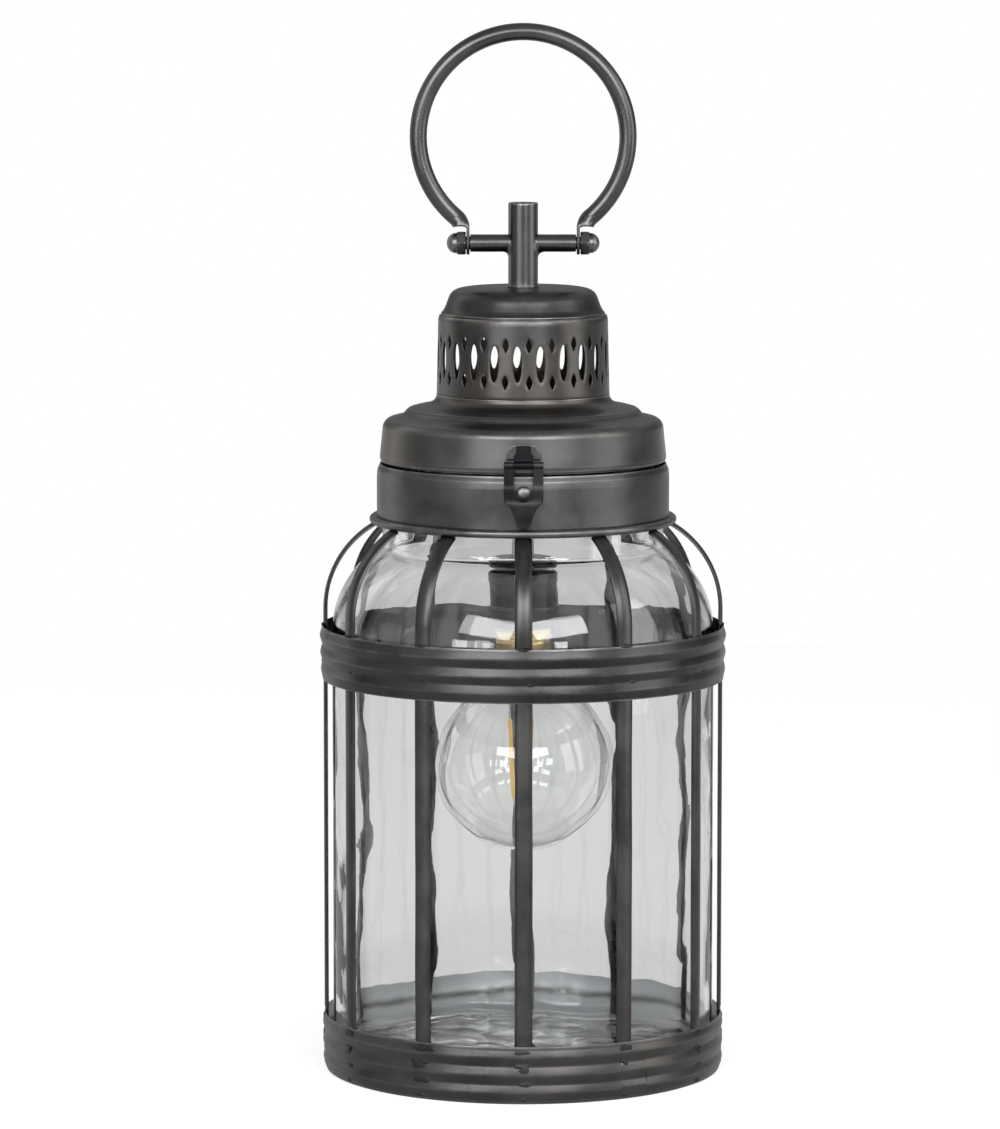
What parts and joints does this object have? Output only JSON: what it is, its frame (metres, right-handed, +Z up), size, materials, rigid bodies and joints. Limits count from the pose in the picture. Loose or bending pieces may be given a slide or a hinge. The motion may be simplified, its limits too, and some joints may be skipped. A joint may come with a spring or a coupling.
{
  "type": "lantern table lamp",
  "caption": "Cordless lantern lamp: glass jar in a ribbed metal cage, hinged vented lid with latch, ring handle and a hanging globe bulb.",
  "frame": {"origin": "centre of the base, on the surface that the lamp stands on", "axes": "+Z up along the lamp axis; -Y towards the front with the latch; X along the handle crossbar"},
  "size_m": [0.1844, 0.1844, 0.4744],
  "materials": {
    "band_metal": "antique dark zinc, rolled beads, satin with a brushed patina",
    "rib_metal": "antique dark zinc, half-round bar, satin",
    "collar_metal": "antique dark zinc sheet, satin, brushed round",
    "lid_metal": "antique dark zinc sheet, spun and brushed round",
    "cap_metal": "antique dark zinc, spun, a little darker",
    "handle_metal": "antique dark steel, satin, rubbed on its edges",
    "latch_metal": "blackened steel, satin",
    "dark_metal": "blackened steel, matt",
    "socket_metal": "blackened steel, satin",
    "jar_glass": "clear hand-blown glass, faint grey-green, wavy",
    "bulb_glass": "clear thin glass",
    "filament": "amber phosphor coating",
    "brass": "plain",
    "zinc_steel": "zinc plated",
    "black_plastic": "moulded, fine texture",
    "white_plastic": "moulded",
    "cell_sleeve": "printed film sleeve, plain",
    "wire_insulation": "flexible PVC",
    "felt": "pressed felt, pale grey",
    "rubber": "moulded ring"
  },
  "bodies": {
    "lantern_body": {"base_plate": "dark_metal", "jar_cushion": "felt", "base_band": "band_metal", "middle_band": "band_metal", "rib_01": "rib_metal", "rib_02": "rib_metal", "rib_03": "rib_metal", "rib_04": "rib_metal", "rib_05": "rib_metal", "rib_06": "rib_metal", "rib_07": "rib_metal", "rib_08": "rib_metal", "rib_09": "rib_metal", "rib_10": "rib_metal", "rib_11": "rib_metal", "rib_12": "rib_metal", "jar_floor": "jar_glass", "jar_wall": "jar_glass", "jar_shoulder": "jar_glass", "neck_gasket": "rubber", "collar_flange": "collar_metal", "collar": "collar_metal", "hinge_leaf_collar": "dark_metal", "collar_rivets": "dark_metal", "latch_knob": "latch_metal", "bridge_brackets": "dark_metal", "lamp_bridge": "dark_metal", "bridge_screws": "zinc_steel", "battery_tray": "black_plastic", "batteries": "cell_sleeve", "battery_contacts": "zinc_steel", "switch_housing": "black_plastic", "nipple": "dark_metal", "nipple_nuts": "dark_metal", "lamp_wires": "wire_insulation", "socket_canopy": "socket_metal", "socket_cover": "socket_metal", "socket_insulator": "white_plastic", "socket_shell": "brass", "socket_contact": "brass", "hinge_pin": "dark_metal"},
    "lid": {"lid_shell": "lid_metal", "vent_gallery": "lid_metal", "chimney_cap": "cap_metal", "handle_post": "handle_metal", "post_nut": "handle_metal", "crossbar": "handle_metal", "cap_nuts": "handle_metal", "hinge_leaf_lid": "dark_metal", "lid_rivets": "dark_metal", "latch_keeper": "latch_metal"},
    "handle": {"ring_handle": "handle_metal"},
    "hasp": {"latch_hasp": "latch_metal"},
    "bulb": {"bulb_cap": "brass", "bulb_contact": "black_plastic", "bulb_glass": "bulb_glass", "bulb_stem": "bulb_glass", "bulb_filament": "filament", "bulb_leads": "zinc_steel"},
    "switch": {"switch_slider": "white_plastic"}
  },
  "joints": [
    {"name": "lid_hinge", "type": "hinge", "parent": "lantern_body", "child": "lid", "pos_m": [0, 0.069, 0.2768], "axis": [-1, 0, 0], "range_deg": [0, 100]},
    {"name": "handle_hinge", "type": "hinge", "parent": "lid", "child": "handle", "pos_m": [0, 0, 0.3757], "axis": [1, 0, 0], "range_deg": [-138, 138]},
    {"name": "hasp_hinge", "type": "hinge", "parent": "lid", "child": "hasp", "pos_m": [0, -0.0676, 0.2819], "axis": [-1, 0, 0], "range_deg": [0, 120]},
    {"name": "bulb_slide", "type": "slide", "parent": "lantern_body", "child": "bulb", "axis": [0, 0, -1], "range_m": [0, 0.03]},
    {"name": "switch_slide", "type": "slide", "parent": "lantern_body", "child": "switch", "axis": [0, 1, 0], "range_m": [0, 0.004]}
  ]
}
